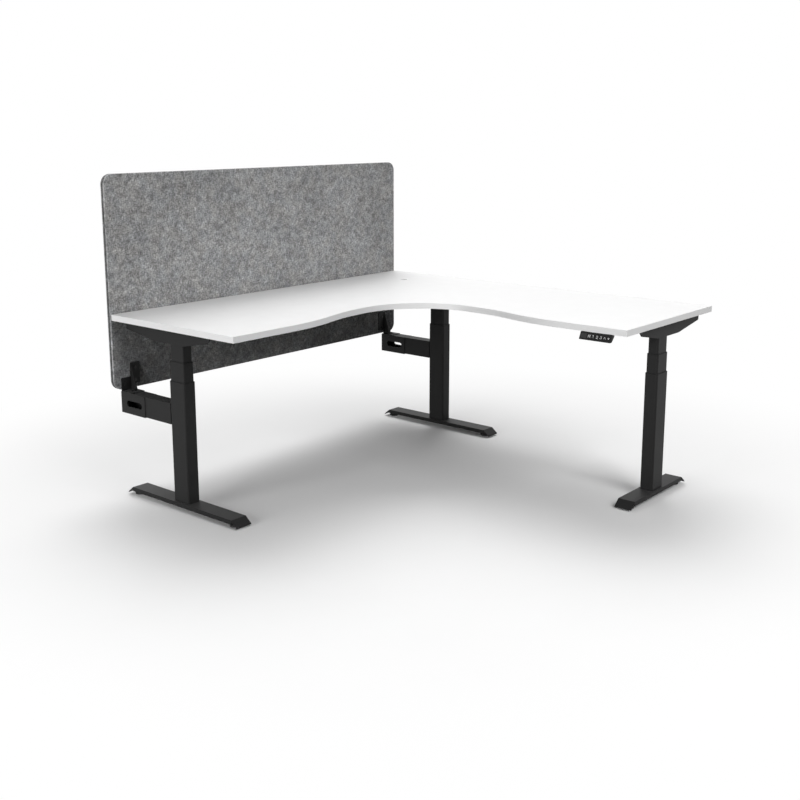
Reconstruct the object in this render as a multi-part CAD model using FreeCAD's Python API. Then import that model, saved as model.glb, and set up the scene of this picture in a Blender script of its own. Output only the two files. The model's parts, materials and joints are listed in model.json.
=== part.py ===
"""Height-adjustable corner desk: L-shaped top on three telescopic legs, with a felt screen on the base.

Millimetres, +Z up. The shapes are built in a corner frame: the outer back corner of the top is at X = 0,
Y = 0, one wing runs along -X with the screen behind it, the other along -Y, and the floor is Z = 0.
save() moves each shape so that the origin is at the bottom centre of the whole desk.
"""
import FreeCAD, Part
import math
import os

# Desk top
TOP_LENGTH = 1800.0
TOP_DEPTH = 750.0
TOP_THICK = 25.0
TOP_HEIGHT = 776.5
EDGING_THICK = 2.0
WAIST_DEPTH = 680.0
WAIST_RADIUS = 300.0
SWELL_LENGTH = 480.0
WAIST_STRAIGHT = 20.0

# Cable grommet in the corner of the top
GROMMET_X = 231.0
GROMMET_Y = 259.0
GROMMET_BORE = 34.0
GROMMET_SLEEVE = 44.0
GROMMET_FLANGE = 54.0
GROMMET_FLANGE_THICK = 1.5
GROMMET_DEPTH = 22.0

# Legs: nested rectangular tubes, largest at the foot
LEG_INSET = 66.0
LEG_BACK = 361.0
COLUMN_LONG = 92.0
COLUMN_SHORT = 58.0
COLUMN_STEP = 3.0
COLUMN_WALL = 1.5
COLUMN_RADIUS = 7.0
OUTER_TOP = 537.0
MIDDLE_TOP = 618.5
MIDDLE_LENGTH = 490.0
INNER_LENGTH = 533.0
GLIDE_LENGTH = 40.0
GLIDE_COLLAR = 1.5
COLLAR_INSET = 0.5
GLIDE_GAP = 0.3
BASE_PLATE = 6.0

# Feet: folded sheet with sloping end lips
FOOT_TOP = 36.0
FOOT_WIDTH = 76.0
FOOT_FLAT = 624.0
RETURN_FOOT_FLAT = 420.0
FOOT_SHEET = 4.0
FOOT_SIDE = 18.0
LIP_REACH = 31.0
LIP_DROP = 29.0
FOOT_BOLT_LONG = 50.0
FOOT_BOLT_SHORT = 26.0
FOOT_BOLT = 8.0
FOOT_BOLT_HEAD = 13.0
FOOT_BOLT_HEAD_TALL = 5.0

# Levelling feet
PAD_DIAMETER = 45.0
PAD_THICK = 9.0
PAD_FRONT_INSET = 17.0
PAD_BACK_INSET = 3.0
STEM_DIAMETER = 10.0
STEM_TOP = 33.0
BOSS_DIAMETER = 18.0
BOSS_LENGTH = 14.0
STEM_GAP = 0.3

# Drive inside each leg: motor, two screws, two nut tubes
MOTOR_DIAMETER = 33.0
MOTOR_LENGTH = 145.0
MOTOR_PLATE = 4.0
UPPER_SCREW = 12.0
UPPER_SCREW_BOTTOM = 215.0
LOWER_SCREW = 20.0
LOWER_SCREW_BOTTOM = 115.0
SCREW_GAP = 0.3
KEY_GAP = 0.5
BASE_TUBE = 28.0
BASE_TUBE_TOP = 410.0
BASE_NUT_LENGTH = 35.0
BASE_TUBE_WALL = 2.0
BRIDGE_TUBE = 34.0
BRIDGE_TUBE_WALL = 2.5
BRIDGE_THICK = 6.0
CAP_BOTTOM = 485.0
CAP_THICK = 30.0

# Head of each leg: side bracket and rails under the top
BRACKET_FRONT = 208.0
BRACKET_BACK = 317.0
BRACKET_TIP = 34.0
BRACKET_ROOT = 63.0
BRACKET_ROOT_FRONT = 45.0
BRACKET_ROOT_BACK = 132.0
BRACKET_NOSE = 16.0
BRACKET_SHEET = 4.0
FLANGE_SHEET = 3.0
RAIL_WIDTH = 30.0
RAIL_TALL = 36.0
RAIL_WALL = 2.0
SCREW_DIAMETER = 5.0
SCREW_HEAD = 9.0
SCREW_HEAD_TALL = 3.0
SCREW_DEPTH = 14.0
SCREW_CLEAR = 0.1
SCREW_ROW = 25.0

# Control box under the main wing
BOX_LENGTH = 260.0
BOX_WIDTH = 100.0
BOX_TALL = 38.0
BOX_FROM_CORNER = 840.0
BOX_FROM_RAIL = 20.0
SOCKET_WIDTH = 14.0
SOCKET_TALL = 10.0
SOCKET_DEPTH = 12.0
SOCKET_PITCH = 17.0
SOCKET_COUNT = 4
INLET_WIDTH = 20.0
INLET_TALL = 24.0

# Handset under the front edge of the return
HANDSET_START = 60.0
HANDSET_LENGTH = 140.0
HANDSET_FACE = 33.5
HANDSET_TILT = 26.5
HANDSET_RADIUS = 3.0
HANDSET_DEPTH = 14.0
HANDSET_LOWER_DEPTH = 9.0
HANDSET_PROUD = 2.0
HANDSET_TAB_DEPTH = 34.0
HANDSET_TAB_SHEET = 3.0
HANDSET_TAB_INSET = 20.0
DISPLAY_START = 4.0
DISPLAY_LENGTH = 26.0
DISPLAY_TALL = 19.0
DISPLAY_THICK = 1.6
KEY_FIRST = 43.0
KEY_PITCH = 17.0
KEY_SIZE = 14.0
KEY_TALL = 18.0
KEY_DEEP = 4.0
KEY_PROUD = 1.0
KEY_TRAVEL = 1.0
KEY_CLEAR = 0.3
KEY_NAMES = ("memory", "one", "two", "three", "up", "down")

# Screen: felt on both sides of a stiff core
SCREEN_TALL = 897.0
SCREEN_BELOW_TOP = 325.5
SCREEN_GAP = 4.0
SCREEN_RADIUS = 42.0
FELT_THICK = 9.0
CORE_THICK = 6.0

# Arms from the legs to the screen
ARM_WIDTH = 58.0
ARM_BOTTOM = 357.0
ARM_TALL = 87.0
ARM_WALL = 2.5
ARM_PAST_EDGE = 6.0
ARM_END_WALL = 5.0
ARM_BOLT = 8.0
ARM_BOLT_HEAD = 13.0
ARM_BOLT_HEAD_TALL = 5.0
ARM_BOLT_PITCH = 50.0
SADDLE_SHEET = 2.5
SADDLE_LENGTH = 158.0
SLOT_LENGTH = 102.0
SLOT_TALL = 27.0
SLOT_FROM_END = 34.0
SLOT_BELOW_TOP = 46.0

# Brackets from the arms to the screen
PLATE_SHEET = 4.0
PLATE_OUTER = 32.0
PLATE_INNER = 62.0
PLATE_NARROW = 46.0
PLATE_LIFT = 24.0
PLATE_WIDE_INNER = 23.0
PLATE_STEP = 57.0
PLATE_TALL = 117.0
PLATE_RADIUS = 6.0
GUSSET_SHEET = 4.0
GUSSET_REACH = 38.0
SHELF_LENGTH = 66.0
SHELF_HALF = 33.0
SHELF_SHEET = 3.0
SHELF_BOLT_PITCH = 18.0
SCREEN_BOLT = 6.0
SCREEN_BOLT_HEAD = 11.0
SCREEN_BOLT_HEAD_TALL = 3.0
SCREEN_BOLT_DEPTH = 12.0

# Worked out from the sizes above
TOP_UNDERSIDE = TOP_HEIGHT - TOP_THICK
SCREEN_THICK = 2 * FELT_THICK + CORE_THICK
SCREEN_REACH = SCREEN_GAP + SCREEN_THICK
SCREEN_BOTTOM = TOP_HEIGHT - SCREEN_BELOW_TOP
ORIGIN = FreeCAD.Vector(TOP_LENGTH / 2, (TOP_LENGTH - SCREEN_REACH) / 2, 0)
HEAD_Z = TOP_UNDERSIDE - FLANGE_SHEET
MIDDLE_LONG = COLUMN_LONG - 2 * COLUMN_STEP
MIDDLE_SHORT = COLUMN_SHORT - 2 * COLUMN_STEP
INNER_LONG = MIDDLE_LONG - 2 * COLUMN_STEP
INNER_SHORT = MIDDLE_SHORT - 2 * COLUMN_STEP
MIDDLE_BOTTOM = MIDDLE_TOP - MIDDLE_LENGTH
INNER_BOTTOM = HEAD_Z - INNER_LENGTH
MOTOR_BOTTOM = HEAD_Z - MOTOR_PLATE - MOTOR_LENGTH
BASE_PLATE_TOP = FOOT_TOP + BASE_PLATE
ARM_TOP = ARM_BOTTOM + ARM_TALL
ARM_BOLT_DEPTH = ARM_END_WALL + COLUMN_WALL
RAIL_NEAR = INNER_LONG / 2
RAIL_FAR = RAIL_NEAR + RAIL_WIDTH
PLATE_FACE = INNER_SHORT / 2
HANDSET_PROUD_X = -TOP_DEPTH - HANDSET_PROUD

LEFT_X = LEG_INSET - TOP_LENGTH
RETURN_Y = LEG_INSET - TOP_LENGTH

# Each leg: centre X, centre Y, turn about Z, side of the leg that faces out, flat length of its foot
LEGS = {
    "left": (LEFT_X, -LEG_BACK, 0, -1, FOOT_FLAT),
    "corner": (-LEG_INSET, -LEG_BACK, 0, 1, FOOT_FLAT),
    "right": (-LEG_BACK, RETURN_Y, -90, 1, RETURN_FOOT_FLAT),
}
SCREEN_LEGS = ("left", "corner")

UP = FreeCAD.Vector(0, 0, 1)
MID = FreeCAD.Vector(0, 0, 0)

# Nodes that hold several like pieces, filled as the pieces are made
GROUPS = {}


def vec(x, y, z=0.0):
    """A point or direction."""
    return FreeCAD.Vector(x, y, z)


def block(x0, x1, y0, y1, z0, z1):
    """A box between two corners, given in either order along each axis."""
    low = vec(min(x0, x1), min(y0, y1), min(z0, z1))
    return Part.makeBox(abs(x1 - x0), abs(y1 - y0), abs(z1 - z0), low)


def rod(diameter, start, end):
    """A round bar from one point to another."""
    along = end - start
    return Part.makeCylinder(diameter / 2, along.Length, start, along)


def bar(long_y, short_x, z0, z1, radius):
    """An upright bar with rounded corners, centred on the Z axis."""
    shape = block(-short_x / 2, short_x / 2, -long_y / 2, long_y / 2, z0, z1)
    upright = [e for e in shape.Edges if abs(e.tangentAt(e.FirstParameter).z) > 0.9]
    return shape.makeFillet(radius, upright)


def tube(long_y, short_x, wall, z0, z1, radius):
    """An upright rectangular tube with rounded corners."""
    outside = bar(long_y, short_x, z0, z1, radius)
    return outside.cut(bar(long_y - 2 * wall, short_x - 2 * wall, z0, z1, radius - wall))


def prism(points, along):
    """A solid pushed out of a closed outline of straight edges."""
    return Part.Face(Part.makePolygon(points + [points[0]])).extrude(along)


def union(shapes):
    """One solid from several that touch or overlap."""
    return shapes[0].multiFuse(shapes[1:]).removeSplitter()


def bolt(start, along, shank, depth, head, head_tall):
    """A bolt whose head sits on start, with its shank running along the direction."""
    step = vec(along.x, along.y, along.z).normalize()
    return union([rod(shank, start, start + step * depth), rod(head, start - step * head_tall, start)])


def place(shape, leg):
    """Moves a shape from a leg's own frame (long side along Y, back towards +Y) to the leg's place."""
    x, y, turn = LEGS[leg][:3]
    moved = shape.copy()
    moved.rotate(MID, UP, turn)
    moved.translate(vec(x, y))
    return moved


def save(name, shape):
    """Writes one sub-part in the desk's frame, with the origin at its bottom centre."""
    moved = shape.copy()
    moved.translate(ORIGIN)
    moved.exportStep(os.path.join("parts", name + ".step"))


def gather(name, shape):
    """Adds a piece to a node that holds several like pieces."""
    GROUPS.setdefault(name, []).append(shape)


def top_outline(inset):
    """The plan outline of the top, moved in from its edge: two wings, a swell on each, a round waist."""
    far = TOP_LENGTH - inset
    deep = TOP_DEPTH - inset
    waist = WAIST_DEPTH - inset
    back = -inset
    bend = WAIST_RADIUS + inset
    turn = waist + bend
    swell_end = WAIST_DEPTH + WAIST_RADIUS + WAIST_STRAIGHT
    swell_start = swell_end + SWELL_LENGTH
    swell_mid = (swell_end + swell_start) / 2
    half_rise = (TOP_DEPTH - WAIST_DEPTH) / 2
    swell_radius = ((SWELL_LENGTH / 2) ** 2 + half_rise ** 2) / (2 * half_rise)
    half_angle = math.asin(SWELL_LENGTH / 2 / swell_radius)
    cross_x = swell_mid + inset * math.sin(half_angle)
    cross_y = WAIST_DEPTH + half_rise - inset * math.cos(half_angle)
    quarter = half_angle / 2
    out_radius = swell_radius - inset
    in_radius = swell_radius + inset
    out_mid = (swell_start - out_radius * math.sin(quarter), deep - out_radius * (1 - math.cos(quarter)))
    in_mid = (swell_end + in_radius * math.sin(quarter), waist + in_radius * (1 - math.cos(quarter)))
    ease = bend * (1 - math.sqrt(0.5))

    def main(along, across):
        return vec(-along, -across)

    def other(along, across):
        return vec(-across, -along)

    def wing(at):
        outer = Part.Arc(at(swell_start, deep), at(*out_mid), at(cross_x, cross_y))
        inner = Part.Arc(at(cross_x, cross_y), at(*in_mid), at(swell_end, waist))
        straight_end = Part.LineSegment(at(far, deep), at(swell_start, deep))
        straight_waist = Part.LineSegment(at(swell_end, waist), at(turn, waist))
        return [straight_end, outer, inner, straight_waist]

    middle = vec(-(waist + ease), -(waist + ease))
    lines = [
        Part.LineSegment(vec(back, back), vec(-far, back)),
        Part.LineSegment(vec(-far, back), vec(-far, -deep)),
        *wing(main),
        Part.Arc(main(turn, waist), middle, other(turn, waist)),
        *wing(other),
        Part.LineSegment(vec(-deep, -far), vec(back, -far)),
        Part.LineSegment(vec(back, -far), vec(back, back)),
    ]
    return Part.Wire(Part.__sortEdges__([line.toShape() for line in lines]))


def slab(inset):
    """The top's outline as a plate of the top's thickness."""
    plate = Part.Face(top_outline(inset)).extrude(vec(0, 0, TOP_THICK))
    plate.translate(vec(0, 0, TOP_UNDERSIDE))
    return plate


def bracket_screw_places(leg):
    """Where the top is screwed to one side bracket, in the leg's own frame."""
    side = LEGS[leg][3]
    x = side * BRACKET_SHEET / 2
    ends = (-BRACKET_FRONT + SCREW_ROW, -RAIL_FAR - SCREW_ROW, RAIL_FAR + SCREW_ROW, BRACKET_BACK - SCREW_ROW)
    return [vec(x, y, HEAD_Z) for y in ends]


def handset_screw_places():
    """Where the top is screwed to the tab behind the handset."""
    x = HANDSET_PROUD_X + HANDSET_DEPTH + HANDSET_TAB_DEPTH / 2
    first = HANDSET_START - TOP_LENGTH + 2 * HANDSET_TAB_INSET
    last = HANDSET_START - TOP_LENGTH + HANDSET_LENGTH - 2 * HANDSET_TAB_INSET
    return [vec(x, y, TOP_UNDERSIDE - HANDSET_TAB_SHEET) for y in (first, last)]


def top_screw_places():
    """Where screws go up into the top, each point on the sheet that the screw's head sits under."""
    points = handset_screw_places()
    for leg in LEGS:
        points += [place(Part.Vertex(point), leg).Point for point in bracket_screw_places(leg)]
    return points


def screw_holes():
    """Clearance round the shanks of the screws in the top and in what they hold."""
    reach = UP * (SCREW_DEPTH + SCREW_CLEAR)
    across = SCREW_DIAMETER + 2 * SCREW_CLEAR
    return Part.makeCompound([rod(across, point, point + reach) for point in top_screw_places()])


def make_top():
    """The board, its edging and the cable grommet."""
    centre = vec(-GROMMET_X, -GROMMET_Y, TOP_HEIGHT)
    board = slab(EDGING_THICK)
    board = board.cut(rod(GROMMET_SLEEVE, centre, centre - UP * TOP_THICK))
    board = board.cut(rod(GROMMET_FLANGE, centre, centre - UP * GROMMET_FLANGE_THICK))
    save("desktop_board", board.cut(screw_holes()))
    save("desktop_edging", slab(0).cut(slab(EDGING_THICK)))
    flange = rod(GROMMET_FLANGE, centre - UP * GROMMET_FLANGE_THICK, centre)
    sleeve = rod(GROMMET_SLEEVE, centre - UP * GROMMET_DEPTH, centre)
    bore = rod(GROMMET_BORE, centre - UP * GROMMET_DEPTH, centre)
    save("cable_grommet", union([flange, sleeve]).cut(bore))
    for point in top_screw_places():
        gather("desktop_screws", bolt(point, UP, SCREW_DIAMETER, SCREW_DEPTH, SCREW_HEAD, SCREW_HEAD_TALL))


def foot_bolt_places():
    """The bolts between a foot and its column, in the leg's own frame, under the foot's sheet."""
    z = FOOT_TOP - FOOT_SHEET
    return [vec(x * FOOT_BOLT_SHORT / 2, y * FOOT_BOLT_LONG / 2, z) for x in (-1, 1) for y in (-1, 1)]


def pad_places(flat):
    """The two levelling feet of a foot, in the leg's own frame."""
    return {"front": vec(0, PAD_FRONT_INSET - flat / 2), "back": vec(0, flat / 2 - PAD_BACK_INSET)}


def make_foot(leg):
    """A folded foot with turned-down sides, sloping lips and a boss for each levelling foot."""
    flat = LEGS[leg][4]
    half = FOOT_WIDTH / 2
    under = FOOT_TOP - FOOT_SHEET
    sheet = block(-half, half, -flat / 2, flat / 2, under, FOOT_TOP)
    pieces = [sheet]
    for side in (-1, 1):
        edge = side * half
        inside = edge - side * FOOT_SHEET
        pieces.append(block(edge, inside, -flat / 2, flat / 2, FOOT_TOP - FOOT_SIDE, FOOT_TOP))
        fold = side * flat / 2
        tip = fold + side * LIP_REACH
        lip = [
            vec(-half, fold, FOOT_TOP),
            vec(-half, tip, FOOT_TOP - LIP_DROP + FOOT_SHEET),
            vec(-half, tip, FOOT_TOP - LIP_DROP),
            vec(-half, fold, under),
        ]
        pieces.append(prism(lip, vec(FOOT_WIDTH, 0)))
    for centre in pad_places(flat).values():
        pieces.append(rod(BOSS_DIAMETER, centre + UP * (under - BOSS_LENGTH), centre + UP * under))
    foot = union(pieces)
    for centre in pad_places(flat).values():
        top = centre + UP * (STEM_TOP + STEM_GAP)
        foot = foot.cut(rod(STEM_DIAMETER + 2 * STEM_GAP, centre, top))
    for point in foot_bolt_places():
        foot = foot.cut(rod(FOOT_BOLT + 2 * SCREW_CLEAR, point, point + UP * FOOT_SHEET))
    save(leg + "_foot", place(foot, leg))


def make_levellers(leg):
    """The two levelling feet of one foot: a round pad on a stem."""
    for end, centre in pad_places(LEGS[leg][4]).items():
        pad = rod(PAD_DIAMETER, centre, centre + UP * PAD_THICK)
        rim = [e for e in pad.Edges if abs(e.BoundBox.ZMax - PAD_THICK) < 0.01 and e.Closed]
        pad = pad.makeChamfer(PAD_THICK / 4, rim)
        stem = rod(STEM_DIAMETER, centre, centre + UP * STEM_TOP)
        save(leg + "_" + end + "_leveller", place(union([pad, stem]), leg))


def glide(outside_long, outside_short, inside_long, inside_short, z0, z1):
    """A plastic ring between two tubes of a column."""
    radius = COLUMN_RADIUS - COLUMN_WALL
    ring = bar(outside_long, outside_short, z0, z1, radius)
    return ring.cut(bar(inside_long, inside_short, z0, z1, radius - GLIDE_GAP))


def upper_glide(long_y, short_x, top):
    """The ring in the mouth of a tube, with a thin collar on the tube's end."""
    room = 2 * COLUMN_WALL
    inside_long = long_y - 2 * COLUMN_STEP + 2 * GLIDE_GAP
    inside_short = short_x - 2 * COLUMN_STEP + 2 * GLIDE_GAP
    ring = glide(long_y - room, short_x - room, inside_long, inside_short, top - GLIDE_LENGTH, top)
    rim_long = long_y - 2 * COLLAR_INSET
    rim_short = short_x - 2 * COLLAR_INSET
    collar = glide(rim_long, rim_short, inside_long, inside_short, top, top + GLIDE_COLLAR)
    return union([ring, collar])


def lower_glide(long_y, short_x, bottom):
    """The ring round the lower end of a sliding tube, inside the tube that holds it."""
    room = 2 * (COLUMN_STEP - COLUMN_WALL - GLIDE_GAP)
    radius = COLUMN_RADIUS - COLUMN_WALL
    ring = bar(long_y + room, short_x + room, bottom, bottom + GLIDE_LENGTH, radius)
    return ring.cut(bar(long_y, short_x, bottom, bottom + GLIDE_LENGTH, COLUMN_RADIUS))


def make_column(leg):
    """The three nested tubes of one leg with their glides."""
    outer = tube(COLUMN_LONG, COLUMN_SHORT, COLUMN_WALL, FOOT_TOP, OUTER_TOP, COLUMN_RADIUS)
    inside = (COLUMN_LONG - 2 * COLUMN_WALL, COLUMN_SHORT - 2 * COLUMN_WALL)
    plate = bar(inside[0], inside[1], FOOT_TOP, BASE_PLATE_TOP, COLUMN_RADIUS - COLUMN_WALL)
    outer = union([outer, plate])
    for point in foot_bolt_places():
        top = vec(point.x, point.y, BASE_PLATE_TOP)
        outer = outer.cut(rod(FOOT_BOLT + 2 * SCREW_CLEAR, vec(point.x, point.y, FOOT_TOP), top))
    outer = place(outer, leg)
    if leg in SCREEN_LEGS:
        outer = outer.cut(Part.makeCompound(arm_bolt_rods(leg, ARM_BOLT + 2 * SCREW_CLEAR)))
    save(leg + "_outer_column", outer)
    gather("outer_glides", place(upper_glide(COLUMN_LONG, COLUMN_SHORT, OUTER_TOP), leg))

    middle = tube(MIDDLE_LONG, MIDDLE_SHORT, COLUMN_WALL, MIDDLE_BOTTOM, MIDDLE_TOP, COLUMN_RADIUS)
    save(leg + "_middle_column", place(middle, leg))
    rings = [
        upper_glide(MIDDLE_LONG, MIDDLE_SHORT, MIDDLE_TOP),
        lower_glide(MIDDLE_LONG, MIDDLE_SHORT, MIDDLE_BOTTOM),
    ]
    save(leg + "_middle_glides", place(Part.makeCompound(rings), leg))

    inner = tube(INNER_LONG, INNER_SHORT, COLUMN_WALL, INNER_BOTTOM, HEAD_Z, COLUMN_RADIUS)
    save(leg + "_inner_column", place(inner, leg))
    gather("inner_glides", place(lower_glide(INNER_LONG, INNER_SHORT, INNER_BOTTOM), leg))


def make_drive(leg):
    """The motor, screws and nut tubes inside one leg."""
    plate_long = INNER_LONG - 2 * COLUMN_WALL - 2 * GLIDE_GAP
    plate_short = INNER_SHORT - 2 * COLUMN_WALL - 2 * GLIDE_GAP
    plate = bar(plate_long, plate_short, HEAD_Z - MOTOR_PLATE, HEAD_Z, COLUMN_RADIUS - COLUMN_WALL)
    motor = rod(MOTOR_DIAMETER, UP * MOTOR_BOTTOM, UP * HEAD_Z)
    gather("gear_motors", place(union([motor, plate]), leg))

    upper = rod(UPPER_SCREW, UP * UPPER_SCREW_BOTTOM, UP * (MOTOR_BOTTOM - SCREW_GAP))
    save(leg + "_upper_screw", place(upper, leg))
    screw_top = CAP_BOTTOM - SCREW_GAP
    lower = rod(LOWER_SCREW, UP * LOWER_SCREW_BOTTOM, UP * screw_top)
    lower = lower.cut(rod(UPPER_SCREW + 2 * KEY_GAP, UP * LOWER_SCREW_BOTTOM, UP * screw_top))
    save(leg + "_lower_screw", place(lower, leg))

    stand = rod(BASE_TUBE, UP * BASE_PLATE_TOP, UP * BASE_TUBE_TOP)
    nut_bottom = BASE_TUBE_TOP - BASE_NUT_LENGTH
    hollow = rod(BASE_TUBE - 2 * BASE_TUBE_WALL, UP * BASE_PLATE_TOP, UP * nut_bottom)
    stand = stand.cut(hollow).cut(rod(LOWER_SCREW + 2 * SCREW_GAP, UP * nut_bottom, UP * BASE_TUBE_TOP))
    gather("base_nut_tubes", place(stand, leg))

    floor_long = MIDDLE_LONG - 2 * COLUMN_WALL
    floor_short = MIDDLE_SHORT - 2 * COLUMN_WALL
    bridge_top = MIDDLE_BOTTOM + BRIDGE_THICK
    bridge = bar(floor_long, floor_short, MIDDLE_BOTTOM, bridge_top, COLUMN_RADIUS - COLUMN_WALL)
    carrier = union([bridge, rod(BRIDGE_TUBE, UP * MIDDLE_BOTTOM, UP * (CAP_BOTTOM + CAP_THICK))])
    carrier = carrier.cut(rod(BRIDGE_TUBE - 2 * BRIDGE_TUBE_WALL, UP * MIDDLE_BOTTOM, UP * CAP_BOTTOM))
    nut = rod(UPPER_SCREW + 2 * SCREW_GAP, UP * CAP_BOTTOM, UP * (CAP_BOTTOM + CAP_THICK))
    save(leg + "_middle_nut_tube", place(carrier.cut(nut), leg))


def bracket_flange(side, y0, y1):
    """One stretch of a side bracket's top flange."""
    edge = side * (PLATE_FACE + BRACKET_SHEET)
    return block(edge, -side * PLATE_FACE, y0, y1, HEAD_Z, TOP_UNDERSIDE)


def make_side_bracket(leg):
    """The tapered bracket on the outer side of a leg's head, with a flange under the top."""
    side = LEGS[leg][3]
    face = side * PLATE_FACE
    tip = TOP_UNDERSIDE - BRACKET_TIP
    root = TOP_UNDERSIDE - BRACKET_ROOT
    outline = [
        vec(face, -BRACKET_FRONT, TOP_UNDERSIDE),
        vec(face, -BRACKET_FRONT, tip + BRACKET_NOSE),
        vec(face, -BRACKET_FRONT + BRACKET_NOSE, tip),
        vec(face, -BRACKET_ROOT_FRONT, root),
        vec(face, BRACKET_ROOT_BACK, root),
        vec(face, BRACKET_BACK - BRACKET_NOSE / 4, tip),
        vec(face, BRACKET_BACK, tip + BRACKET_NOSE / 4),
        vec(face, BRACKET_BACK, TOP_UNDERSIDE),
    ]
    pieces = [prism(outline, vec(side * BRACKET_SHEET, 0))]
    pieces.append(bracket_flange(side, -BRACKET_FRONT, -RAIL_FAR))
    pieces.append(bracket_flange(side, -RAIL_NEAR, RAIL_NEAR))
    pieces.append(bracket_flange(side, RAIL_FAR, BRACKET_BACK))
    bracket = place(union(pieces), leg)
    save(leg + "_side_bracket", bracket.cut(screw_holes()))


def rail(x0, x1, y0, y1):
    """A rectangular tube under the top, along its longer side."""
    z0 = TOP_UNDERSIDE - RAIL_TALL
    solid = block(x0, x1, y0, y1, z0, TOP_UNDERSIDE)
    wall = RAIL_WALL
    if abs(x1 - x0) > abs(y1 - y0):
        hollow = block(x0, x1, min(y0, y1) + wall, max(y0, y1) - wall, z0 + wall, TOP_UNDERSIDE - wall)
    else:
        hollow = block(min(x0, x1) + wall, max(x0, x1) - wall, y0, y1, z0 + wall, TOP_UNDERSIDE - wall)
    return solid.cut(hollow)


def make_rails():
    """Two rails along the main wing and two along the return."""
    start = LEFT_X - PLATE_FACE
    end = PLATE_FACE - LEG_INSET
    gather("main_rails", rail(start, end, -LEG_BACK - RAIL_FAR, -LEG_BACK - RAIL_NEAR))
    gather("main_rails", rail(start, end, -LEG_BACK + RAIL_NEAR, -LEG_BACK + RAIL_FAR))
    far = RETURN_Y - PLATE_FACE
    near = -LEG_BACK - RAIL_FAR
    gather("return_rails", rail(-LEG_BACK - RAIL_FAR, -LEG_BACK - RAIL_NEAR, far, near))
    gather("return_rails", rail(-LEG_BACK + RAIL_NEAR, -LEG_BACK + RAIL_FAR, far, near))


def make_control_box():
    """The control box under the main wing, with sockets for the motors, the handset and the mains."""
    x1 = -BOX_FROM_CORNER
    y0 = -LEG_BACK + RAIL_FAR + BOX_FROM_RAIL
    z0 = TOP_UNDERSIDE - BOX_TALL
    case = block(x1 - BOX_LENGTH, x1, y0, y0 + BOX_WIDTH, z0, TOP_UNDERSIDE)
    case = case.makeFillet(BOX_TALL / 12, [e for e in case.Edges if e.BoundBox.ZMax < TOP_UNDERSIDE - 1])
    middle = z0 + BOX_TALL / 2
    first = y0 + BOX_WIDTH - (BOX_WIDTH - (SOCKET_COUNT - 1) * SOCKET_PITCH - INLET_WIDTH) / 2
    for number in range(SOCKET_COUNT):
        y = first - number * SOCKET_PITCH
        case = case.cut(block(x1 - SOCKET_DEPTH, x1, y - SOCKET_WIDTH / 2, y + SOCKET_WIDTH / 2,
                              middle - SOCKET_TALL / 2, middle + SOCKET_TALL / 2))
    y = first - (SOCKET_COUNT - 1) * SOCKET_PITCH - SOCKET_PITCH / 2
    case = case.cut(block(x1 - SOCKET_DEPTH, x1, y - INLET_WIDTH, y,
                          middle - INLET_TALL / 2, middle + INLET_TALL / 2))
    save("control_box", case)


def on_handset(shape):
    """Moves a shape from the handset's face frame (face on X = 0, top edge on Z = 0) to its place."""
    moved = shape.copy()
    moved.rotate(MID, vec(0, 1, 0), HANDSET_TILT)
    moved.translate(vec(HANDSET_PROUD_X, HANDSET_START - TOP_LENGTH, TOP_UNDERSIDE))
    return moved


def make_handset():
    """The handset's case with the tab behind it, its display window and its six keys."""
    tilt = math.radians(HANDSET_TILT)
    front = HANDSET_PROUD_X
    y0 = HANDSET_START - TOP_LENGTH
    chin = vec(front - HANDSET_FACE * math.sin(tilt), y0, TOP_UNDERSIDE - HANDSET_FACE * math.cos(tilt))
    outline = [
        vec(front, y0, TOP_UNDERSIDE),
        chin,
        chin + vec(HANDSET_LOWER_DEPTH, 0, 0),
        vec(front + HANDSET_DEPTH, y0, TOP_UNDERSIDE - HANDSET_FACE / 4),
        vec(front + HANDSET_DEPTH, y0, TOP_UNDERSIDE),
    ]
    heel = front + HANDSET_DEPTH
    tab = block(heel, heel + HANDSET_TAB_DEPTH,
                y0 + HANDSET_TAB_INSET, y0 + HANDSET_LENGTH - HANDSET_TAB_INSET,
                TOP_UNDERSIDE - HANDSET_TAB_SHEET, TOP_UNDERSIDE)
    body = prism(outline, vec(0, HANDSET_LENGTH, 0))
    corners = [e for e in body.Edges if abs(e.tangentAt(e.FirstParameter).x) > 0.99]
    case = union([body.makeFillet(HANDSET_RADIUS, corners), tab]).cut(screw_holes())
    middle = -HANDSET_FACE / 2
    window_y = HANDSET_LENGTH - DISPLAY_START
    window = block(0, DISPLAY_THICK, window_y - DISPLAY_LENGTH, window_y,
                   middle - DISPLAY_TALL / 2, middle + DISPLAY_TALL / 2)
    case = case.cut(on_handset(window))
    save("handset_display", on_handset(window))
    room = KEY_DEEP - KEY_PROUD + KEY_TRAVEL + KEY_CLEAR
    half = KEY_SIZE / 2
    tall = KEY_TALL / 2
    for number, name in enumerate(KEY_NAMES):
        y = HANDSET_LENGTH - KEY_FIRST - number * KEY_PITCH
        cap = block(-KEY_PROUD, KEY_DEEP - KEY_PROUD, y - half, y + half, middle - tall, middle + tall)
        rim = [e for e in cap.Edges if e.BoundBox.XMax < 0]
        save("key_" + name, on_handset(cap.makeChamfer(KEY_PROUD / 2, rim)))
        pocket = block(0, room, y - half - KEY_CLEAR, y + half + KEY_CLEAR,
                       middle - tall - KEY_CLEAR, middle + tall + KEY_CLEAR)
        case = case.cut(on_handset(pocket))
    save("handset_case", case)


def screen_layer(y0, y1):
    """One layer of the screen, with rounded corners."""
    layer = block(-TOP_LENGTH, 0, y0, y1, SCREEN_BOTTOM, SCREEN_BOTTOM + SCREEN_TALL)
    corners = [e for e in layer.Edges if abs(e.tangentAt(e.FirstParameter).y) > 0.9]
    return layer.makeFillet(SCREEN_RADIUS, corners)


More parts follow.
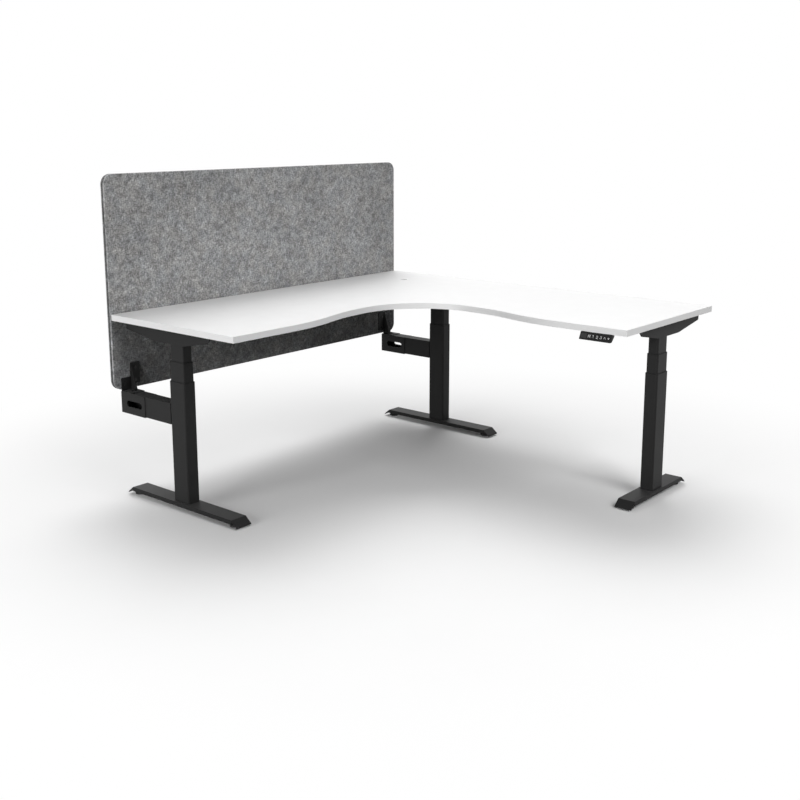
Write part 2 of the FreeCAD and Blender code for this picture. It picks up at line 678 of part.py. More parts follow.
def make_screen():
    """The screen: front felt, stiff core and back felt."""
    front = screen_layer(SCREEN_GAP, SCREEN_GAP + FELT_THICK)
    core = screen_layer(SCREEN_GAP + FELT_THICK, SCREEN_GAP + FELT_THICK + CORE_THICK)
    holes = []
    for leg in SCREEN_LEGS:
        holes += [rod(SCREEN_BOLT + 2 * SCREW_CLEAR, point, point + vec(0, SCREEN_BOLT_DEPTH + SCREW_CLEAR))
                  for point in screen_bolt_places(leg)]
    holes = Part.makeCompound(holes)
    save("screen_front_felt", front.cut(holes))
    save("screen_core", core.cut(holes))
    save("screen_back_felt", screen_layer(SCREEN_REACH - FELT_THICK, SCREEN_REACH))


def arm_bolt_places(leg):
    """Where an arm is bolted to its column: the points on the inside of the arm's end wall."""
    y = -LEG_BACK + COLUMN_LONG / 2 + ARM_END_WALL
    z = ARM_BOTTOM + ARM_TALL / 2
    return [vec(LEGS[leg][0], y, z + step * ARM_BOLT_PITCH) for step in (-0.5, 0.5)]


def arm_bolt_rods(leg, diameter):
    """The shanks of the bolts between an arm and its column."""
    return [rod(diameter, point, point - vec(0, ARM_BOLT_DEPTH)) for point in arm_bolt_places(leg)]


def arm_slot(leg):
    """The cable slot through the end of an arm and its saddle."""
    x = LEGS[leg][0]
    y1 = ARM_PAST_EDGE - SLOT_FROM_END
    z = ARM_TOP - SLOT_BELOW_TOP
    reach = ARM_WIDTH / 2 + 2 * SADDLE_SHEET
    half = SLOT_TALL / 2
    turns = (y1 - SLOT_LENGTH + half, y1 - half)
    shape = block(x - reach, x + reach, *turns, z - half, z + half)
    ends = [rod(SLOT_TALL, vec(x - reach, y, z), vec(x + reach, y, z)) for y in turns]
    return union([shape, *ends])


def make_arm(leg):
    """The box arm from a column to the screen, and the saddle round its end."""
    x = LEGS[leg][0]
    y0 = -LEG_BACK + COLUMN_LONG / 2
    half = ARM_WIDTH / 2
    wall = ARM_WALL
    arm = block(x - half, x + half, y0, ARM_PAST_EDGE, ARM_BOTTOM, ARM_TOP)
    inside = block(x - half + wall, x + half - wall, y0 + ARM_END_WALL, ARM_PAST_EDGE,
                   ARM_BOTTOM + wall, ARM_TOP - wall)
    arm = arm.cut(inside).cut(arm_slot(leg))
    arm = arm.cut(Part.makeCompound(arm_bolt_rods(leg, ARM_BOLT + 2 * SCREW_CLEAR)))
    arm = arm.cut(Part.makeCompound(shelf_bolt_rods(leg, SCREEN_BOLT + 2 * SCREW_CLEAR)))
    save(leg + "_arm", arm)
    end = ARM_PAST_EDGE + SADDLE_SHEET
    reach = half + SADDLE_SHEET
    saddle = block(x - reach, x + reach, end - SADDLE_LENGTH, end, ARM_BOTTOM - SADDLE_SHEET, ARM_TOP)
    saddle = saddle.cut(block(x - half, x + half, end - SADDLE_LENGTH, ARM_PAST_EDGE, ARM_BOTTOM, ARM_TOP))
    gather("arm_saddles", saddle.cut(arm_slot(leg)))


def screen_bolt_places(leg):
    """Where a bracket is bolted to the screen: the points on the bracket's face."""
    x, side = LEGS[leg][0], LEGS[leg][3]
    inner = x - side * (PLATE_INNER - PLATE_NARROW / 2)
    outer = x + side * PLATE_OUTER / 2
    low = (ARM_TOP + SHELF_SHEET + ARM_TOP + PLATE_STEP) / 2
    middle = ARM_TOP + (PLATE_LIFT + PLATE_STEP) / 2
    high = ARM_TOP + PLATE_TALL - PLATE_NARROW / 2
    face = SCREEN_GAP - PLATE_SHEET
    return [vec(px, face, pz) for px, pz in ((inner, high), (inner, middle), (outer, low))]


def shelf_bolt_places(leg):
    """Where a bracket's shelf is bolted to the arm: the points on top of the shelf."""
    x = LEGS[leg][0]
    y = SCREEN_GAP - PLATE_SHEET - SHELF_LENGTH / 2
    spread = SHELF_BOLT_PITCH / 2
    return [vec(x - spread, y, ARM_TOP + SHELF_SHEET), vec(x + spread, y, ARM_TOP + SHELF_SHEET)]


def shelf_bolt_rods(leg, diameter):
    """The shanks of the bolts between a bracket's shelf and the arm."""
    return [rod(diameter, point, point - UP * SCREEN_BOLT_DEPTH) for point in shelf_bolt_places(leg)]


def eased_plate(x0, x1, y0, y1, z0, z1):
    """A plate across Y whose top corner at x0 is rounded."""
    plate = block(x0, x1, y0, y1, z0, z1)
    middle = vec(x0, (y0 + y1) / 2, z1)
    corner = [e for e in plate.Edges if (e.CenterOfMass - middle).Length < PLATE_SHEET / 4]
    return plate.makeFillet(PLATE_RADIUS, corner)


def make_screen_bracket(leg):
    """The stepped plate behind the top that joins the screen to an arm, with a gusset and a shelf."""
    x, side = LEGS[leg][0], LEGS[leg][3]
    back = SCREEN_GAP
    face = SCREEN_GAP - PLATE_SHEET
    inner = x - side * PLATE_INNER
    outer = x + side * PLATE_OUTER
    step = inner + side * PLATE_NARROW
    top = ARM_TOP + PLATE_TALL
    shelf_top = ARM_TOP + SHELF_SHEET
    gusset = [
        vec(step, face, top),
        vec(step, face - GUSSET_REACH, shelf_top),
        vec(step, face, shelf_top),
    ]
    pieces = [
        eased_plate(outer, x - side * PLATE_WIDE_INNER, face, back, ARM_TOP, ARM_TOP + PLATE_STEP),
        eased_plate(inner, step, face, back, ARM_TOP + PLATE_LIFT, top),
        block(x - SHELF_HALF, x + SHELF_HALF, face - SHELF_LENGTH, back, ARM_TOP, shelf_top),
        prism(gusset, vec(-side * GUSSET_SHEET, 0)),
    ]
    bracket = union(pieces)
    for point in screen_bolt_places(leg):
        bracket = bracket.cut(rod(SCREEN_BOLT + 2 * SCREW_CLEAR, point, point + vec(0, PLATE_SHEET)))
    bracket = bracket.cut(Part.makeCompound(shelf_bolt_rods(leg, SCREEN_BOLT + 2 * SCREW_CLEAR)))
    gather("screen_brackets", bracket)


def make_bolts():
    """The bolts of the base: feet to columns, arms to columns, and brackets to arms and screen."""
    for leg in LEGS:
        for point in foot_bolt_places():
            one = bolt(point, UP, FOOT_BOLT, FOOT_SHEET + BASE_PLATE, FOOT_BOLT_HEAD, FOOT_BOLT_HEAD_TALL)
            gather("base_bolts", place(one, leg))
    arm_sizes = (ARM_BOLT, ARM_BOLT_DEPTH, ARM_BOLT_HEAD, ARM_BOLT_HEAD_TALL)
    screen_sizes = (SCREEN_BOLT, SCREEN_BOLT_DEPTH, SCREEN_BOLT_HEAD, SCREEN_BOLT_HEAD_TALL)
    for leg in SCREEN_LEGS:
        for point in arm_bolt_places(leg):
            gather("base_bolts", bolt(point, vec(0, -1), *arm_sizes))
        for point in screen_bolt_places(leg):
            gather("base_bolts", bolt(point, vec(0, 1), *screen_sizes))
        for point in shelf_bolt_places(leg):
            gather("base_bolts", bolt(point, -UP, *screen_sizes))


os.makedirs("parts", exist_ok=True)
make_top()
make_rails()
make_control_box()
make_handset()
make_screen()
make_bolts()
for leg_name in LEGS:
    make_foot(leg_name)
    make_levellers(leg_name)
    make_column(leg_name)
    make_drive(leg_name)
    make_side_bracket(leg_name)
for leg_name in SCREEN_LEGS:
    make_arm(leg_name)
    make_screen_bracket(leg_name)
for group_name, members in GROUPS.items():
    save(group_name, Part.makeCompound(members))
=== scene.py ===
import json
import math

import bpy
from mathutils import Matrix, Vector, noise


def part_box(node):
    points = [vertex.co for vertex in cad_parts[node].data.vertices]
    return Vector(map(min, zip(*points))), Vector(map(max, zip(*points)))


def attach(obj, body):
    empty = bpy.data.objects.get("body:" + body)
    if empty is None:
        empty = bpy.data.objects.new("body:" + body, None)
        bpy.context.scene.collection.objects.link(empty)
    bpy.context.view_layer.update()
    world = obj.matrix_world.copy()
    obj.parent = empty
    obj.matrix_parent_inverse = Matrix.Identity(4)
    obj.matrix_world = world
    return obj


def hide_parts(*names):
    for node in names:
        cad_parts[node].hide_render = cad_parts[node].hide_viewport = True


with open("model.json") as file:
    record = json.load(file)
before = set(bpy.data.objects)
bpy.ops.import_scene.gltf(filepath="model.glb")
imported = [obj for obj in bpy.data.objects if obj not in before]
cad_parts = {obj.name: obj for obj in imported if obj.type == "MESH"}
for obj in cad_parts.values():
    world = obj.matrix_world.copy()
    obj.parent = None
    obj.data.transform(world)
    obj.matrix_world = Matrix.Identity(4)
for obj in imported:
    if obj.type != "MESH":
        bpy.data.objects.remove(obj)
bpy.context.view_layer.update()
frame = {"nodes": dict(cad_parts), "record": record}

# Camera, fitted to the photograph: place in metres, angles in degrees, lens and sensor in
# millimetres, shift as a share of the picture
CAMERA_PLACE = (-3.53265, -2.88927, 1.55127)
CAMERA_YAW = 49.988
CAMERA_PITCH = 11.523
CAMERA_LENS = 49.263
CAMERA_SENSOR = 36.0
CAMERA_SHIFT = (-0.0029, -0.0677)

# Screen layers, in metres: rounding of the edges, depth of the uneven face, mesh cell, corners
FELT_EDGE = 0.0022
FELT_WAVE = 0.0005
FELT_CELL = 0.008
CORE_EDGE = 0.0006
CORE_WAVE = 0.0
CORE_CELL = 0.03
SCREEN_RADIUS = 0.042
# Grid lines across a rounded edge, as shares of its radius
EDGE_STEPS = (0.0, 0.15, 0.4, 0.7, 1.0)
# Unevenness of the felt: scale and share of its two noises, and what sets the faces apart in them
RIPPLE_SCALE, RIPPLE_SHARE = 9, 0.6
FUZZ_SCALE, FUZZ_SHARE = 90, 0.4
FACE_SCALE = 40

# Felt colours: greys of the fibres, strength of the clouds, and the painted light and shade on each
# cut edge against the faces
FELT_TONES = (0.10, 0.35, 0.74)
FELT_CLOUD = 0.15
# Painted highlight: the front felt's cut edge is made paler than its face, as if it caught the
# light
FRONT_EDGE_PAINTED_HIGHLIGHT = 1.3
# Painted shade: the back felt's cut edge is darkened, as if in shade
BACK_EDGE_PAINTED_SHADE = 0.6
CORE_TONES = (0.55, 0.70, 0.80)
CORE_CLOUD = 0.04
# Painted shade: the pale core's cut edge, in the groove between the felts, is made nearly black
CORE_EDGE_PAINTED_SHADE = 0.05
# Where the three greys lie along the fibres' noise, and the share of each direction of fibres
FIBRE_STOPS = (0.34, 0.50, 0.66)
UPRIGHT_SHARE, SLANTED_SHARE = 0.55, 0.45
# Slight tints of the felt
COOL_TINT = (0.98, 0.998, 1.022)
WARM_TINT = (1.012, 1.0, 0.986)

# Plain surfaces: scale of the mottling, and how far it changes the roughness either way
MOTTLE_SCALE = 14.0
MOTTLE_ROUGH = 0.05

# The part of a noise's range that holds most of its values
NOISE_BAND = (0.3, 0.7)
# Sockets of a colour mix node, by number since their names repeat: factor, two colours, result
MIX_INPUTS = (0, 6, 7)
MIX_OUTPUT = 2
WHITE = (1, 1, 1, 1)

# Handset face: tilt in degrees, and the size of its glyphs in metres
HANDSET_TILT = 26.5
GLYPH_TALL = 0.011
GLYPH_STROKE = 0.0013
GLYPH_THICK = 0.00012

# Floor: radius in metres, greys where it is seen, the share of light that it throws back onto
# the desk, and the distances in metres between which it fades to white
FLOOR_RADIUS = 40.0
FLOOR_GREYS = (0.86, 0.87)
FLOOR_BOUNCE = 0.15
FLOOR_FADE = (0.8, 2.6)

# Sky as a light: heights of a direction, and the strengths there
SKY_HEIGHTS = (0.1, 0.8)
SKY_STRENGTHS = (0.028, 0.25)

# Lights: name, place, aim, side of the square in metres, power in watts
LIGHTS = (
    ("overhead", (3.7, 4.0, 8.4), (0.2, 0.2, 0.2), 6.6, 665),
    ("front", (-0.9, -4.4, 3.7), (0, 0.6, 0.8), 2.6, 148),
    ("left", (-5.0, 0.3, 1.15), (0, 0.1, 0.8), 2.2, 120),
)


# Shader nodes

def grey(level):
    """A neutral colour."""
    return (level, level, level)


def feed(tree, socket, value):
    """Sets an input to a number or colour, or links it to another node's output."""
    if isinstance(value, bpy.types.NodeSocket):
        tree.links.new(value, socket)
    else:
        socket.default_value = value


def calculate(tree, kind, *values):
    """The result of one operation on numbers or sockets."""
    node = tree.nodes.new("ShaderNodeMath")
    node.operation = kind
    for socket, value in zip(node.inputs, values):
        feed(tree, socket, value)
    return node.outputs[0]


def map_range(tree, value, source=(0.0, 1.0), target=(0.0, 1.0), kind="LINEAR"):
    """A value taken from one range to another."""
    node = tree.nodes.new("ShaderNodeMapRange")
    node.interpolation_type = kind
    names = ("From Min", "From Max", "To Min", "To Max")
    for name, number in zip(names, (*source, *target)):
        node.inputs[name].default_value = number
    tree.links.new(value, node.inputs["Value"])
    return node.outputs["Result"]


def coordinate(tree, vector, axis):
    """One coordinate of a vector."""
    node = tree.nodes.new("ShaderNodeSeparateXYZ")
    tree.links.new(vector, node.inputs[0])
    return node.outputs[axis]


def noise_value(tree, place, scale, detail=3.0, rough=0.55, stretch=None, turn=0.0):
    """A noise over the object, stretched and then turned about Y, in degrees, if asked."""
    if stretch is not None:
        mapping = tree.nodes.new("ShaderNodeMapping")
        mapping.inputs["Scale"].default_value = stretch
        mapping.inputs["Rotation"].default_value = (0, math.radians(turn), 0)
        tree.links.new(place, mapping.inputs["Vector"])
        place = mapping.outputs["Vector"]
    node = tree.nodes.new("ShaderNodeTexNoise")
    node.inputs["Scale"].default_value = scale
    node.inputs["Detail"].default_value = detail
    node.inputs["Roughness"].default_value = rough
    tree.links.new(place, node.inputs["Vector"])
    return node.outputs["Fac"]


def ramp(tree, value, stops):
    """A colour along a value: stops are (position, colour)."""
    node = tree.nodes.new("ShaderNodeValToRGB")
    band = node.color_ramp.elements
    while len(band) < len(stops):
        band.new(0.5)
    for element, (position, colour) in zip(band, stops):
        element.position = position
        element.color = (*colour, 1.0)
    tree.links.new(value, node.inputs["Fac"])
    return node.outputs["Color"]


def grey_ramp(tree, value, dark, light, band=NOISE_BAND):
    """From one grey to another along part of a value's range."""
    return ramp(tree, value, [(band[0], grey(dark)), (band[1], grey(light))])


def mix(tree, kind, factor, first, second):
    """Two colours put together; factor and colours are constants or sockets."""
    node = tree.nodes.new("ShaderNodeMix")
    node.data_type = "RGBA"
    node.blend_type = kind
    for number, value in zip(MIX_INPUTS, (factor, first, second)):
        feed(tree, node.inputs[number], value)
    return node.outputs[MIX_OUTPUT]


def mix_shaders(tree, factor, first, second):
    """Two shaders put together."""
    node = tree.nodes.new("ShaderNodeMixShader")
    for socket, value in zip(node.inputs, (factor, first, second)):
        tree.links.new(value, socket)
    return node.outputs[0]


def relief(tree, shader, height, depth, strength, edge=0.0):
    """A bumped surface, with softly rounded edges where edge is the radius."""
    bump = tree.nodes.new("ShaderNodeBump")
    bump.inputs["Strength"].default_value = strength
    bump.inputs["Distance"].default_value = depth
    tree.links.new(height, bump.inputs["Height"])
    if edge:
        bevel = tree.nodes.new("ShaderNodeBevel")
        bevel.samples = 4
        bevel.inputs["Radius"].default_value = edge
        tree.links.new(bevel.outputs["Normal"], bump.inputs["Normal"])
    tree.links.new(bump.outputs["Normal"], shader.inputs["Normal"])


# Materials

def new_material(name, rough, metal=0.0, specular=0.5):
    """A material with its node tree, its main shader and its texture coordinates."""
    material = bpy.data.materials.new(name)
    material.use_nodes = True
    tree = material.node_tree
    shader = tree.nodes["Principled BSDF"]
    shader.inputs["Roughness"].default_value = rough
    shader.inputs["Metallic"].default_value = metal
    shader.inputs["Specular IOR Level"].default_value = specular
    place = tree.nodes.new("ShaderNodeTexCoord").outputs["Object"]
    return material, tree, shader, place


def plain_surface(name, dark, light, rough, grain, depth, strength, edge=0.0,
                  metal=0.0, specular=0.5, sheen=0.0):
    """A coated, moulded or plated surface: fine grain, slight mottling, rounded edges."""
    material, tree, shader, place = new_material(name, rough, metal, specular)
    shader.inputs["Sheen Weight"].default_value = sheen
    mottle = noise_value(tree, place, MOTTLE_SCALE, detail=4.0)
    tree.links.new(grey_ramp(tree, mottle, dark, light), shader.inputs["Base Color"])
    shine = map_range(tree, mottle, target=(rough - MOTTLE_ROUGH, rough + MOTTLE_ROUGH))
    tree.links.new(shine, shader.inputs["Roughness"])
    fine = noise_value(tree, place, grain, detail=2.0)
    relief(tree, shader, fine, depth, strength, edge)
    return material


def paint_edge_light(tree, shade):
    """White on the faces of a sheet; on its cut edge the given tone, a painted highlight above one
    and painted shade below one.
    """
    normal = tree.nodes.new("ShaderNodeTexCoord").outputs["Normal"]
    facing = calculate(tree, "ABSOLUTE", coordinate(tree, normal, "Y"))
    return grey_ramp(tree, facing, shade, 1.0, band=(0.3, 0.8))


def felt_surface(name, tones, cloud, painted_edge_light):
    """Pressed felt: fibres in two directions, clumps, dark flecks, slight tints and clouds, and the
    painted highlight or painted shade given for its cut edge.
    """
    material, tree, shader, place = new_material(name, rough=0.95, specular=0.15)
    upright = noise_value(tree, place, 1.0, detail=5.0, rough=0.65, stretch=(210, 210, 60), turn=12)
    slanted = noise_value(tree, place, 1.0, detail=5.0, rough=0.65, stretch=(70, 210, 190), turn=38)
    fibres = calculate(tree, "MULTIPLY_ADD", upright, UPRIGHT_SHARE,
                       calculate(tree, "MULTIPLY", slanted, SLANTED_SHARE))
    base = ramp(tree, fibres, [(stop, grey(tone)) for stop, tone in zip(FIBRE_STOPS, tones)])
    clump_noise = noise_value(tree, place, 34.0, detail=6.0, rough=0.74)
    clumps = grey_ramp(tree, clump_noise, 0.5, 1.2, band=(0.34, 0.62))
    fleck_noise = noise_value(tree, place, 175.0, detail=2.0, rough=0.5)
    flecks = grey_ramp(tree, fleck_noise, 0.35, 1.0, band=(0.30, 0.38))
    tint_noise = noise_value(tree, place, 16.0, detail=2.0)
    tints = ramp(tree, tint_noise, [(0.38, COOL_TINT), (0.62, WARM_TINT)])
    clouds = grey_ramp(tree, noise_value(tree, place, 4.5), 1 - cloud, 1 + cloud)
    # The last layer is painted light: it brightens or darkens the cut edge by the given edge tone
    layers = ((0.85, clumps), (0.5, flecks), (1.0, tints), (1.0, clouds),
              (1.0, paint_edge_light(tree, painted_edge_light)))
    for share, layer in layers:
        base = mix(tree, "MULTIPLY", share, base, layer)
    tree.links.new(base, shader.inputs["Base Color"])
    shader.inputs["Sheen Weight"].default_value = 0.25
    shader.inputs["Sheen Roughness"].default_value = 0.6
    fuzz = noise_value(tree, place, 620.0, detail=4.0, rough=0.7)
    relief(tree, shader, fuzz, depth=0.0009, strength=0.55)
    return material


# One look for each material slot of the record
LOOKS = {
    "white_board": plain_surface(
        "white_melamine", dark=0.84, light=0.86, rough=0.5, grain=1400,
        depth=0.00008, strength=0.12, specular=0.3),
    "white_edging": plain_surface(
        "white_edging", dark=0.93, light=0.95, rough=0.45, grain=1100,
        depth=0.00008, strength=0.12, edge=0.0008, specular=0.9),
    "white_plastic": plain_surface(
        "white_plastic", dark=0.84, light=0.86, rough=0.4, grain=900,
        depth=0.00008, strength=0.1, edge=0.0006),
    "black_metal": plain_surface(
        "black_powder_coat", dark=0.009, light=0.012, rough=0.55, grain=850,
        depth=0.00018, strength=0.3, edge=0.0014, specular=0.18, sheen=0.07),
    "black_bolts": plain_surface(
        "black_plating", dark=0.030, light=0.045, rough=0.4, grain=700,
        depth=0.00006, strength=0.12, edge=0.0006, metal=1.0),
    "steel": plain_surface(
        "plated_steel", dark=0.42, light=0.52, rough=0.34, grain=700,
        depth=0.00006, strength=0.12, edge=0.0006, metal=1.0),
    "black_plastic": plain_surface(
        "black_plastic", dark=0.006, light=0.008, rough=0.5, grain=1300,
        depth=0.0001, strength=0.2, edge=0.0008, specular=0.2),
    "key_plastic": plain_surface(
        "key_plastic", dark=0.007, light=0.009, rough=0.6, grain=1700,
        depth=0.00006, strength=0.15, edge=0.0004, specular=0.2),
    "display_glass": plain_surface(
        "display_window", dark=0.006, light=0.008, rough=0.12, grain=500,
        depth=0.00001, strength=0.02, edge=0.0004),
    # The front felt carries a painted highlight on its cut edge
    "grey_felt": felt_surface("grey_felt", FELT_TONES, FELT_CLOUD, FRONT_EDGE_PAINTED_HIGHLIGHT),
    # The pale core carries painted shade on its cut edge
    "screen_core": felt_surface("pale_core", CORE_TONES, CORE_CLOUD, CORE_EDGE_PAINTED_SHADE),
    "black_rubber": plain_surface(
        "black_rubber", dark=0.010, light=0.014, rough=0.7, grain=1000,
        depth=0.00012, strength=0.25, edge=0.001),
}
# The back felt is a copy of the front felt with painted shade on its cut edge
BACK_FELT_PAINTED_SHADE = felt_surface("grey_felt_back_painted_shade", FELT_TONES, FELT_CLOUD, BACK_EDGE_PAINTED_SHADE)
GLYPH_WHITE = plain_surface(
    "glyph_white", dark=0.82, light=0.86, rough=0.5, grain=2500, depth=0.00002, strength=0.05)

for part in frame["record"]["subparts"]:
    part_mesh = frame["nodes"][part["node"]].data
    part_mesh.materials.clear()
    part_mesh.materials.append(LOOKS[part["material_slot"]])


def add_piece(name, vertices, faces, material, body, smooth=False):
    """A mesh piece that rides on a body."""
    mesh = bpy.data.meshes.new(name)
    mesh.from_pydata(vertices, [], faces)
    mesh.validate()
    mesh.materials.append(material)
    mesh.polygons.foreach_set("use_smooth", [smooth] * len(mesh.polygons))
    piece = bpy.data.objects.new(name, mesh)
    bpy.context.scene.collection.objects.link(piece)
    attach(piece, body)
    return piece


# Screen layers

def screen_lines(low, high, cell, edge):
    """Places of grid lines along one side of the screen: fine at the edges, even between."""
    fine = [edge * share for share in EDGE_STEPS]
    count = max(2, round((high - low - 2 * edge) / cell))
    even = [low + edge + (high - low - 2 * edge) * step / count for step in range(1, count)]
    return [low + f for f in fine] + even + [high - f for f in reversed(fine)]


def rounded(x, z, low, high, radius):
    """Moves a point of a square-cornered sheet into the sheet with round corners."""
    out = []
    for value, first, last in ((x, low[0], high[0]), (z, low[1], high[1])):
        if value < first + radius:
            out.append(((first + radius - value) / radius, -1, first + radius))
        elif value > last - radius:
            out.append(((value - last + radius) / radius, 1, last - radius))
        else:
            return x, z
    (a, side_a, base_a), (b, side_b, base_b) = out
    along = a * math.sqrt(1 - b * b / 2)
    across = b * math.sqrt(1 - a * a / 2)
    return base_a + side_a * along * radius, base_b + side_b * across * radius


def inside_distance(x, z, low, high, radius):
    """How far a point is inside the outline with round corners."""
    middle = ((low[0] + high[0]) / 2, (low[1] + high[1]) / 2)
    half = ((high[0] - low[0]) / 2, (high[1] - low[1]) / 2)
    qx = abs(x - middle[0]) - half[0] + radius
    qz = abs(z - middle[1]) - half[1] + radius
    outside = math.hypot(max(qx, 0.0), max(qz, 0.0))
    return radius - outside - min(max(qx, qz), 0.0)


def unevenness(x, face, z):
    """How far the felt sinks at a point of one face, from 0 to 1."""
    ripple, fuzz = (
        0.5 + 0.5 * noise.noise(Vector((x * scale, face * FACE_SCALE, z * scale)))
        for scale in (RIPPLE_SCALE, FUZZ_SCALE))
    return RIPPLE_SHARE * ripple + FUZZ_SHARE * fuzz


def sheet_faces(wide, tall):
    """The faces of two grids of vertices, one behind the other, and of the strip between them."""
    size = wide * tall
    faces = []
    for row in range(tall - 1):
        for column in range(wide - 1):
            a = row * wide + column
            faces.append((a, a + 1, a + wide + 1, a + wide))
            faces.append((size + a, size + a + wide, size + a + wide + 1, size + a + 1))
    border = list(range(wide))
    border += [row * wide + wide - 1 for row in range(1, tall)]
    border += [(tall - 1) * wide + column for column in range(wide - 2, -1, -1)]
    border += [row * wide for row in range(tall - 2, 0, -1)]
    for first, second in zip(border, border[1:] + border[:1]):
        faces.append((second, first, size + first, size + second))
    return faces


def screen_layer(node, slot, material, edge, wave, cell):
    """One layer of the screen, with eased edges and an uneven face, in place of its solid."""
    low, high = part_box(node)
    outline = (low.x, low.z), (high.x, high.z), SCREEN_RADIUS
    xs = screen_lines(low.x, high.x, cell, edge)
    zs = screen_lines(low.z, high.z, cell, edge)
    vertices = []
    for face, inward in ((low.y, 1), (high.y, -1)):
        for z in zs:
            for x in xs:
                px, pz = rounded(x, z, *outline)
                depth = max(inside_distance(px, pz, *outline), 0.0)
                short = max(edge - depth, 0.0)
                sink = edge - math.sqrt(max(edge * edge - short * short, 0.0))
                calm = min(depth / edge, 1.0)
                sink += wave * calm * unevenness(px, face, pz)
                vertices.append((px, face + inward * sink, pz))
    faces = sheet_faces(len(xs), len(zs))
    piece = add_piece(node + "_sheet", vertices, faces, material, "base", True)
    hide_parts(node)


FELT_MAKE = (FELT_EDGE, FELT_WAVE, FELT_CELL)
CORE_MAKE = (CORE_EDGE, CORE_WAVE, CORE_CELL)
screen_layer("screen_front_felt", "grey_felt", LOOKS["grey_felt"], *FELT_MAKE)
screen_layer("screen_core", "screen_core", LOOKS["screen_core"], *CORE_MAKE)
screen_layer("screen_back_felt", "grey_felt", BACK_FELT_PAINTED_SHADE, *FELT_MAKE)


# Glyphs on the keys

def stroke(start, end):
    """A straight stroke of a glyph as the corners of a flat bar, in the glyph's own plane."""
    first, second = Vector(start), Vector(end)
    along = (second - first).normalized() * GLYPH_STROKE / 2
    across = Vector((-along.y, along.x))
    return [first - along - across, second + along - across,
            second + along + across, first - along + across]


def path(*points):
    """Strokes from each point to the next."""
    return list(zip(points, points[1:]))


def arc(centre, radius, start, end, steps=10):
    """Strokes along part of a circle, angles in degrees."""
    angles = [math.radians(start + (end - start) * n / steps) for n in range(steps + 1)]
    points = [(centre[0] + radius * math.cos(a), centre[1] + radius * math.sin(a)) for a in angles]
    return path(*points)


# The strokes of each key's mark, in a box one unit tall centred on the key
GLYPHS = {
    "memory": path((-0.36, -0.5), (-0.36, 0.5), (0, -0.1), (0.36, 0.5), (0.36, -0.5)),
    "one": path((-0.2, 0.28), (0.04, 0.5), (0.04, -0.5)),
    "two": arc((0, 0.22), 0.28, 170, -35) + path((0.23, 0.06), (-0.3, -0.5), (0.32, -0.5)),
    "three": arc((0, 0.25), 0.25, 160, -80) + arc((0, -0.23), 0.27, 80, -160),
    "up": path((-0.34, -0.28), (0, 0.28), (0.34, -0.28)),
    "down": path((-0.34, 0.28), (0, -0.28), (0.34, 0.28)),
}


def key_glyph(key, strokes):
    """White strokes printed on a key's face."""
    low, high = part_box("key_" + key)
    tilt = math.radians(HANDSET_TILT)
    right = Vector((0, -1, 0))
    up = Vector((math.sin(tilt), 0, math.cos(tilt)))
    out = Vector((-math.cos(tilt), 0, math.sin(tilt)))
    corners = [vertex.co for vertex in frame["nodes"]["key_" + key].data.vertices]
    face = max(corner.dot(out) for corner in corners)
    middle = (low + high) / 2
    centre = middle + out * (face - middle.dot(out))
    vertices, faces = [], []
    for ends in strokes:
        scaled = [tuple(GLYPH_TALL * value for value in point) for point in ends]
        flat = [centre + right * corner.x + up * corner.y for corner in stroke(*scaled)]
        first = len(vertices)
        vertices += [point - out * GLYPH_THICK / 2 for point in flat]
        vertices += [point + out * GLYPH_THICK for point in flat]
        faces.append(tuple(first + n for n in (4, 5, 6, 7)))
        for n in range(4):
            after = (n + 1) % 4
            faces.append((first + n, first + after, first + 4 + after, first + 4 + n))
    add_piece("glyph_" + key, vertices, faces, GLYPH_WHITE, "key_" + key)


for key_name, key_strokes in GLYPHS.items():
    key_glyph(key_name, key_strokes)


# Stage

def seen_rays(tree):
    """One for rays that show what they meet, straight, mirrored or through glass; else zero."""
    rays = tree.nodes.new("ShaderNodeLightPath").outputs
    value = rays["Is Camera Ray"]
    for kind in ("Is Glossy Ray", "Is Transmission Ray"):
        value = calculate(tree, "MAXIMUM", value, rays[kind])
    return value


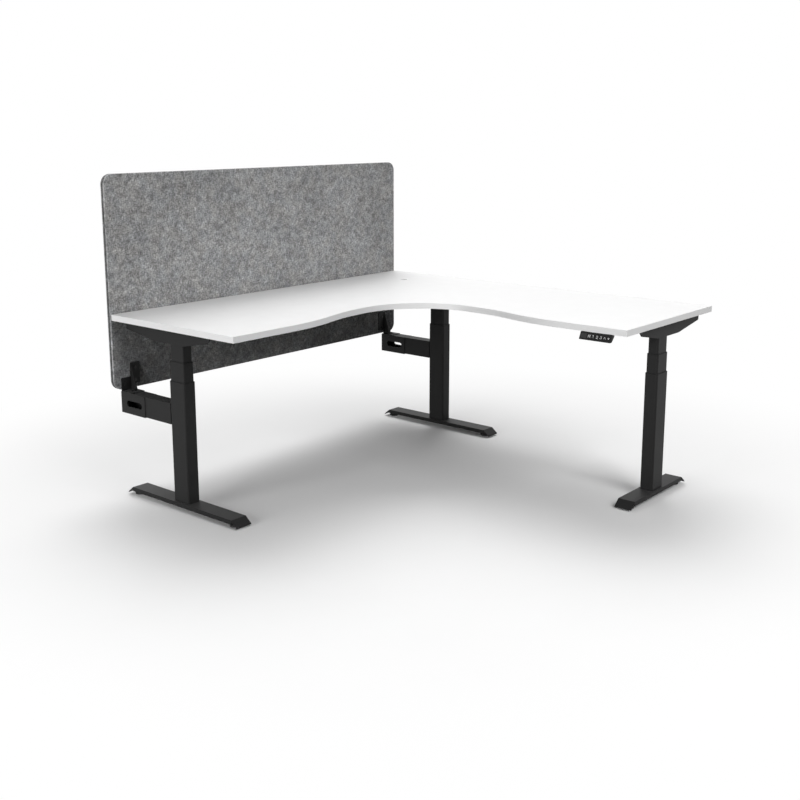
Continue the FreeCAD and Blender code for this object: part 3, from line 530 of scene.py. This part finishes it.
def make_floor():
    """A plain pale floor that keeps the desk's shadow and fades to white far out."""
    bpy.ops.mesh.primitive_circle_add(
        vertices=96, radius=FLOOR_RADIUS, fill_type="NGON", location=(0, 0, 0))
    floor = bpy.context.object
    floor.name = "floor"
    material, tree, shader, place = new_material("floor", rough=0.9, specular=0.1)
    pale = grey_ramp(tree, noise_value(tree, place, 3.0, detail=2.0), *FLOOR_GREYS)
    seen = seen_rays(tree)
    colour = mix(tree, "MIX", seen, (*grey(FLOOR_BOUNCE), 1.0), pale)
    tree.links.new(colour, shader.inputs["Base Color"])
    length = tree.nodes.new("ShaderNodeVectorMath")
    length.operation = "LENGTH"
    tree.links.new(place, length.inputs[0])
    fade = map_range(tree, length.outputs["Value"], source=FLOOR_FADE, kind="SMOOTHSTEP")
    white = tree.nodes.new("ShaderNodeEmission")
    white.inputs["Color"].default_value = WHITE
    tree.links.new(seen, white.inputs["Strength"])
    surface = mix_shaders(tree, fade, shader.outputs[0], white.outputs[0])
    tree.links.new(surface, tree.nodes["Material Output"].inputs["Surface"])
    floor.data.materials.append(material)


def make_light(name, place, aim, size, power):
    """A soft square light aimed at a point."""
    data = bpy.data.lights.new(name, "AREA")
    data.shape = "SQUARE"
    data.size = size
    data.energy = power
    lamp = bpy.data.objects.new(name, data)
    lamp.location = place
    lamp.rotation_euler = (Vector(aim) - Vector(place)).to_track_quat("-Z", "Y").to_euler()
    bpy.context.scene.collection.objects.link(lamp)


def background(tree, strength):
    """A white background of a strength that is a number or a socket."""
    node = tree.nodes.new("ShaderNodeBackground")
    node.inputs["Color"].default_value = WHITE
    feed(tree, node.inputs["Strength"], strength)
    return node.outputs[0]


def make_world():
    """White where it is seen; as light, a soft sky that is brightest overhead."""
    world = bpy.data.worlds.new("studio")
    world.use_nodes = True
    tree = world.node_tree
    tree.nodes.clear()
    direction = tree.nodes.new("ShaderNodeTexCoord").outputs["Generated"]
    strength = map_range(
        tree, coordinate(tree, direction, "Z"), SKY_HEIGHTS, SKY_STRENGTHS, kind="SMOOTHSTEP")
    sky = mix_shaders(tree, seen_rays(tree), background(tree, strength), background(tree, 1.0))
    out = tree.nodes.new("ShaderNodeOutputWorld")
    tree.links.new(sky, out.inputs["Surface"])
    bpy.context.scene.world = world


def make_camera():
    """The camera at the photograph's place and angle."""
    data = bpy.data.cameras.new("camera")
    data.sensor_width = CAMERA_SENSOR
    data.lens = CAMERA_LENS
    data.shift_x, data.shift_y = CAMERA_SHIFT
    camera = bpy.data.objects.new("camera", data)
    camera.location = CAMERA_PLACE
    camera.rotation_euler = (math.radians(90 - CAMERA_PITCH), 0, -math.radians(CAMERA_YAW))
    bpy.context.scene.collection.objects.link(camera)
    bpy.context.scene.camera = camera


make_floor()
for light in LIGHTS:
    make_light(*light)
make_world()
make_camera()
bpy.context.scene.view_settings.view_transform = "Standard"
